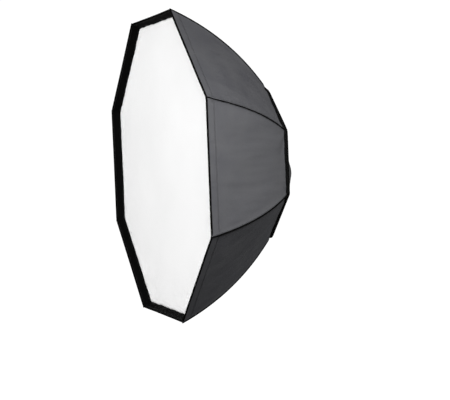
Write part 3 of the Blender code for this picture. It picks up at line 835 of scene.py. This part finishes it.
def baffle_corner(k, rod_radius):
    """An elastic strap that loops round the rod, sewn to a patch on the inner diffuser's corner."""
    width = 0.014
    loop = 0.0036
    inner = BAFFLE_RADIUS - 0.016
    turn = np.linspace(0.5 * math.pi, -0.5 * math.pi, 13)
    start = [(inner + s, 0.0021) for s in np.linspace(0, rod_radius - inner - 0.016, 16)]
    bulge = [(rod_radius - 0.010, 0.0024), (rod_radius - 0.005, 0.0032)]
    cap = [(rod_radius + loop * math.cos(a), loop * math.sin(a)) for a in turn]
    upper = start + bulge
    path = upper + cap + [(r, -d) for r, d in reversed(upper)]
    path = np.array(path)
    z = np.linspace(-0.5 * width, 0.5 * width, 9)
    reach = np.clip((path[:, 0] - BAFFLE_RADIUS) / (rod_radius - BAFFLE_RADIUS), 0, 1)
    sag = -0.0005 * np.sin(math.pi * reach)
    points = np.stack(
        np.broadcast_arrays(path[:, :1], (BAFFLE_Y + path[:, 1] + sag)[:, None], z[None]), -1
    )
    angle = HALF * (2 * k + 1)
    strap = sheet_grid(f"strap_{k + 1}", turned(points, angle), WHITE_TAPE, 0.0008, 0, 0.0)
    placed(strap, "softbox", "strap_elastic", f"baffle_strap_{k + 1}")
    box = []
    for side in (-1, 1):
        y = BAFFLE_Y + side * 0.0028
        for a, b in zip(BOX_STITCH, BOX_STITCH[1:]):
            line = np.linspace((inner + a[0], y, a[1]), (inner + b[0], y, b[1]), 12)
            box.append(laid(line, (0.0, float(side), 0.0), angle))
    sewn = stitches(f"strap_stitches_{k + 1}", box, WHITE_THREAD, 0.0022, 0.0018, 0.0005)
    placed(sewn, "softbox", "strap_elastic")
    return [strap, sewn]


# ---------------- rod pockets
def rod_pockets():
    """Webbing sleeves that take the rods' tips."""
    for k in range(SECTORS):
        angle = HALF * (2 * k + 1)
        cad = cad_points("rod_pocket", k)
        rear, tip = cad[cad[:, 1] > cad[:, 1].max() - 0.003], cad[cad[:, 1] < cad[:, 1].min() + 0.003]
        mouth = np.array((rear[:, 0].mean(), rear[:, 1].mean(), 0.0))
        end = np.array((tip[:, 0].mean(), tip[:, 1].mean(), 0.0))
        axis = unit(end - mouth)
        side = np.array((0.0, 0.0, 1.0))
        out = unit(np.cross(axis, side))
        if out[0] < 0:
            out = -out
        length = float(np.linalg.norm(end - mouth)) + 0.001
        s = np.concatenate((np.linspace(-0.001, 0.78, 14), (0.86, 0.92, 0.965, 0.99, 1.0)))
        rows = []
        for value in s:
            shrink = math.sqrt(max(0.0, 1 - max(0.0, (value - 0.78) / 0.22) ** 2.4))
            ripple = 0.00018 * math.sin(46.0 * value)
            a = np.linspace(0, 2 * math.pi, 25)[:-1]
            wide = (0.0054 + ripple) * max(shrink, 0.05)
            tall = (0.0050 + ripple) * max(0.75 * shrink + 0.25 * (value < 0.8), 0.06)
            ring = (
                mouth
                + axis * value * length
                + side * (wide * np.cos(a))[:, None]
                + out * (tall * np.sin(a))[:, None]
            )
            rows.append(ring)
        rows = np.array(rows)
        lip = rows[0] + (mouth - rows[0]) * 0.32 + axis * 0.0005
        inside = lip + axis * 0.020
        verts = np.concatenate((inside[None], lip[None], rows))
        faces = grid_faces(len(verts), 24, wrap_columns=True)
        faces.append(tuple((len(verts) - 1) * 24 + j for j in range(24)))
        around = np.linspace(0, 0.034, 25)[:-1]
        run = np.concatenate(((0.0, 0.001), (s - s[0]) * length + 0.002))
        uvs = np.stack(np.broadcast_arrays(around[None], run[:, None]), -1)
        pocket = make(f"pocket_{k + 1}", turned(verts.reshape(-1, 3), angle), faces, WEBBING, uvs)
        placed(pocket, "softbox", "trim_fabric", f"rod_pocket_{k + 1}")


# ---------------- rear band and flaps
def limp(k, u):
    """How far the band and its hinge have sunk beside the corner that is nearest to u in sector k."""
    u = np.asarray(u, float)
    ahead, behind = (SOFT_CORNERS.get((k + side) % SECTORS, 0.0) for side in (0.5, -0.5))
    depth = np.where(u > 0, ahead, behind)
    return depth * bell((1 - np.abs(u)) * BAND_FLAT * TAN_HALF, 0.0, 0.016)


def rear_band():
    """Webbing that stands back from the shell."""
    inner, outer = BAND_FLAT - 0.0040, BAND_FLAT
    profile = [
        (outer - 0.0006, BAND_FRONT - 0.0016),
        (outer + 0.0003, BAND_FRONT - 0.0006),
        (outer + 0.0004, BAND_FRONT + 0.0010),
        (outer - 0.0004, BAND_FRONT + 0.0019),
        (outer - 0.0004, BAND_REAR - 0.0034),
        (outer + 0.0004, BAND_REAR - 0.0024),
        (outer + 0.0004, BAND_REAR - 0.0006),
        (outer - 0.0005, BAND_REAR + 0.0002),
        (inner + 0.0006, BAND_REAR + 0.0002),
        (inner, BAND_REAR - 0.0006),
        (inner, BAND_FRONT + 0.0010),
        (inner + 0.0008, BAND_FRONT + 0.0002),
    ]

    def sway(u, k, flat, y):
        place = (k + 0.5 * u) * 4.0
        bend = 0.0005 * drift(place, 1.2, 3.3) - 0.0006 * (1 - u * u)
        rear = (y - BAND_FRONT) / (BAND_REAR - BAND_FRONT)
        return bend - limp(k, u) * rear, 0.0006 * drift(place * 1.7, 8.8, 0.4)

    band = octagon_ring("band_tape", profile, WEBBING, 40, sway, 0.0022)
    placed(band, "softbox", "trim_fabric", "rear_band")
    rows = []
    for k in range(SECTORS):
        for y in (BAND_FRONT + 0.0026, BAND_REAR - 0.0042):
            u = np.linspace(-0.97, 0.97, 60)
            bend = np.array([sway(x, k, 0.0, y)[0] for x in u])
            flat = outer - 0.0003 + bend
            line = np.stack((flat, np.full_like(u, y), u * flat * TAN_HALF), -1)
            rows.append(laid(line, (1.0, 0.0, 0.0), 2 * HALF * k))
    sewn = stitches("band_stitches", rows, THREAD)
    placed(sewn, "softbox", "trim_fabric")


def flap_points(k, u, v, out=0.0):
    """Points of rear flap k: u from -1 to 1 across, v from 0 at the hinge to 1 at the light's end."""
    u, v = np.broadcast_arrays(np.asarray(u, float), np.asarray(v, float))
    low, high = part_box("rear_flap_1")
    root = np.array((high.x - 0.0012, low.y + 0.0008))
    inner = np.array((low.x + 0.0012, high.y - 0.0008))
    base = root + v[..., None] * (inner - root)
    slant = unit(inner - root)
    normal = np.array((-slant[1], slant[0])) * (1 if slant[0] < 0 else -1)
    if normal[1] < 0:
        normal = -normal
    half_width = base[..., 0] * TAN_HALF - 0.0011
    across = u * half_width
    crown = 0.0045 * np.sin(math.pi * np.clip(v, 0, 1)) * (1 - u * u) * 0.8
    wave = 0.0013 * rough(across * 24.0, v * 2.5 + 4.0 * k, seed=5.2) * ease(v, 0.0, 0.12)
    fold = 0.0006 * rough(across * 60.0, v * 6.0 + 9.0 * k, seed=2.8) * ease(v, 0.0, 0.2)
    slack = 0.0125 * bell(u, -0.45, 0.50) * np.sin(math.pi * np.clip(v, 0, 1)) ** 0.7 * (k == NEAR_PANEL)
    lift = crown + wave + fold + slack + out
    base = base - (limp(k, u) * np.clip(1 - v, 0, 1) ** 4)[..., None] * np.array((1.0, 0.0))
    points = np.stack(
        (base[..., 0] + lift * normal[0], base[..., 1] + lift * normal[1], across), -1
    )
    return turned(points, 2 * HALF * k), turned(np.array((normal[0], normal[1], 0.0)), 2 * HALF * k)


def rear_flaps():
    for k in range(SECTORS):
        body = f"rear_flap_{k + 1}"
        notch = notch_edge(k)
        u = spread(49, 0.6)[::-1]
        points = np.array([[flap_points(k, x, s * notch(x))[0] for x in u] for s in np.linspace(0, 1, 46)])
        flap = sheet_grid(f"flap_cloth_{k + 1}", points, [FLAP_CLOTH], 0.0011, 0, 0.0)
        placed(flap, body, "flap_fabric", body)
        pieces = [flap_binding(k, body, notch), flap_tab(k, body), flap_sewing(k, body, notch)]
    hinge_rolls()


def notch_edge(k):
    """How far v goes at each u: one flap is cut out round the lock screw's knob."""
    if k != LOCK_SECTOR:
        return lambda u: 1.0

    def reach(u):
        half_width = 0.0118
        across = abs(u) * 0.040
        return 1.0 - 0.13 * float(1 - ease(across, half_width, half_width + 0.006))

    return reach


def flap_binding(k, body, notch):
    """Folded tape along both sides and the light's end."""
    corner = notch(1.0)
    line = [flap_points(k, 1.0, v * corner)[0] for v in np.linspace(0.012, 1, 44)]
    line += [flap_points(k, u, notch(u))[0] for u in np.linspace(0.97, -0.97, 40)]
    line += [flap_points(k, -1.0, v * corner)[0] for v in np.linspace(1, 0.012, 44)]
    normal = flap_points(k, 0.0, 0.5)[1]
    made = sweep(f"flap_binding_{k + 1}", *laid(line, normal, 0.0), oval(0.0056, 0.0026, 10), BINDING)
    placed(made, body, "flap_fabric")
    return made


def flap_tab(k, body):
    """Loop patch by the light's end that closes the ring of flaps."""
    across, along = np.linspace(0.62, 0.92, 9), np.linspace(0.52, 0.84, 14)
    points = np.array([[flap_points(k, u, v, 0.0011)[0] for u in across] for v in along])
    made = sheet_grid(f"flap_patch_{k + 1}", points[:, ::-1], LOOP, 0.0012, 0, 1.0)
    placed(made, body, "flap_fabric")
    return made


def flap_sewing(k, body, notch):
    """Stitches beside the binding on three sides, and along the hinge."""
    vs = np.linspace(0.05, 0.96, 70)
    half_width = 0.0875 - 0.0527 * vs
    paths = [(side * (1 - 0.0062 / half_width), vs) for side in (-1, 1)]
    us = np.linspace(-0.85, 0.85, 50)
    paths.append((us, [notch(u) - 0.045 for u in us]))
    paths.append((np.linspace(-0.93, 0.93, 60), np.full(60, 0.06)))
    normal = flap_points(k, 0.0, 0.5)[1]
    rows = [
        laid([flap_points(k, u, v, 0.0007)[0] for u, v in zip(*path)], normal, 0.0) for path in paths
    ]
    made = stitches(f"flap_stitches_{k + 1}", rows, THREAD)
    placed(made, body, "flap_fabric")
    return made


def hinge_rolls():
    """Rolled tape that each flap turns in, along the band's rear edge."""
    low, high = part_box("rear_flap_1")
    flat, y = high.x - 0.0010, low.y + 0.0009
    for k in range(SECTORS):
        u = np.linspace(-0.985, 0.985, 50)
        wobble = 0.0002 * rough(u * 9.0, 3.0 * k + 0.0 * u, seed=1.1)
        line = np.stack((flat + wobble - limp(k, u), np.full_like(u, y), u * flat * TAN_HALF), -1)
        hinge = laid(line, (0.0, 1.0, 0.0), 2 * HALF * k)
        made = sweep(f"flap_hinge_{k + 1}", *hinge, oval(0.0030, 0.0030, 10), BINDING)
        placed(made, "softbox", "trim_fabric")


# ---------------- frame parts that stay
def hardware():
    """The frame's own metal and plastic pieces get their finishes."""
    cast = metal("cast_aluminium", (0.42, 0.43, 0.45), 0.38)
    steel = metal("zinc_steel", (0.50, 0.50, 0.52), 0.34)
    screw = metal("black_steel", (0.10, 0.10, 0.105), 0.4)
    anodised = metal("black_anodised", (0.035, 0.035, 0.038), 0.42, metallic=0.8)
    knob = plastic("knob_plastic", 0.014, 0.45)
    rod = plastic("rod_fibreglass", 0.020, 0.32, 500.0)
    finishes = {
        "bayonet_adapter": cast,
        "speed_ring": anodised,
        "retaining_ring": steel,
        "lock_knob": knob,
        "ring_screw": screw,
        "rod_socket": anodised,
        "rod": rod,
    }
    for name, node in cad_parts.items():
        stem = name.rstrip("0123456789").rstrip("_")
        if node.hide_render or stem not in finishes:
            continue
        for slot in node.material_slots:
            slot.material = finishes[stem]


# ---------------- floor, light and camera
def stage_and_light():
    n = Nodes("pale_floor")
    pale = n.finish(
        Base_Color=n.mix(n.noise(3.0, 4.0, 0.6), shade(0.80), shade(0.84)),
        Roughness=0.9,
        Specular_IOR_Level=0.1,
        Emission_Color=shade(1.0),
        Emission_Strength=0.98,
    )
    size, drop = 40.0, 1.30
    floor = make(
        "floor",
        [(-size, -size, -drop), (size, -size, -drop), (size, size, -drop), (-size, size, -drop)],
        [(0, 1, 2, 3)],
        pale,
        smooth=False,
    )
    floor.visible_diffuse = False
    floor.visible_glossy = False
    world = bpy.data.worlds.new("studio")
    bpy.context.scene.world = world
    world.use_nodes = True
    tree = world.node_tree
    back, surface = tree.nodes["Background"], tree.nodes["World Output"].inputs["Surface"]
    back.inputs["Color"].default_value = shade(1.0)
    back.inputs["Strength"].default_value = AMBIENT
    paper = tree.nodes.new("ShaderNodeBackground")
    paper.inputs["Color"].default_value = shade(1.0)
    paper.inputs["Strength"].default_value = 1.05
    seen = tree.nodes.new("ShaderNodeLightPath").outputs["Is Camera Ray"]
    both = tree.nodes.new("ShaderNodeMixShader")
    tree.links.new(seen, both.inputs[0])
    tree.links.new(back.outputs[0], both.inputs[1])
    tree.links.new(paper.outputs[0], both.inputs[2])
    tree.links.new(both.outputs[0], surface)
    area_light("key_right", (0.90, -0.15, 0.30), 19.0, 1.5, 0.8)
    area_light("fill_right", (0.90, 0.10, 0.40), 18.0)
    area_light("key_left", (-0.90, 0.10, 0.40), 80.0)
    area_light("top", (0.50, 0.30, 0.80), 4.0)
    area_light("front", (0.10, -0.98, 0.10), 93.0)
    area_light("back", (0.15, 0.98, 0.15), 30.0)


def area_light(name, direction, power, distance=3.2, size=1.6):
    """A round soft light that faces the middle of the box from that direction."""
    lamp = bpy.data.lights.new(name, "AREA")
    lamp.shape = "DISK"
    lamp.size = size
    lamp.energy = power
    made = add_object(name, lamp)
    away = distance * Vector(direction).normalized()
    made.location = Vector((0.0, -0.2, 0.0)) + away
    made.rotation_euler = (-away).to_track_quat("-Z", "Y").to_euler()


def camera():
    """Long lens, from the front right and a little above, tipped slightly."""
    azimuth, elevation, roll = (math.radians(a) for a in (68.3, 2.91, -2.22))
    level = math.cos(elevation)
    back = Vector((math.sin(azimuth) * level, -math.cos(azimuth) * level, math.sin(elevation)))
    right = Vector((0, 0, 1)).cross(back).normalized()
    up = back.cross(right)
    right, up = (
        math.cos(roll) * right + math.sin(roll) * up,
        -math.sin(roll) * right + math.cos(roll) * up,
    )
    aside, below, away = (FRONT_RADIUS * x for x in (0.431, -0.207, 6.963))
    place = Vector((0, FRONT_Y, 0)) + aside * right + below * up + away * back
    data = bpy.data.cameras.new("camera")
    data.lens = 89.6
    data.sensor_width = 36.0
    made = add_object("camera", data)
    made.matrix_world = Matrix.Translation(place) @ Matrix((right, up, back)).transposed().to_4x4()
    bpy.context.scene.camera = made


camera()
shell()
rib_piping()
front_rim()
loop_tape()
front_diffuser()
inner_diffuser()
rod_pockets()
rear_band()
rear_flaps()
hardware()
stage_and_light()
bpy.context.scene.view_settings.view_transform = "Standard"
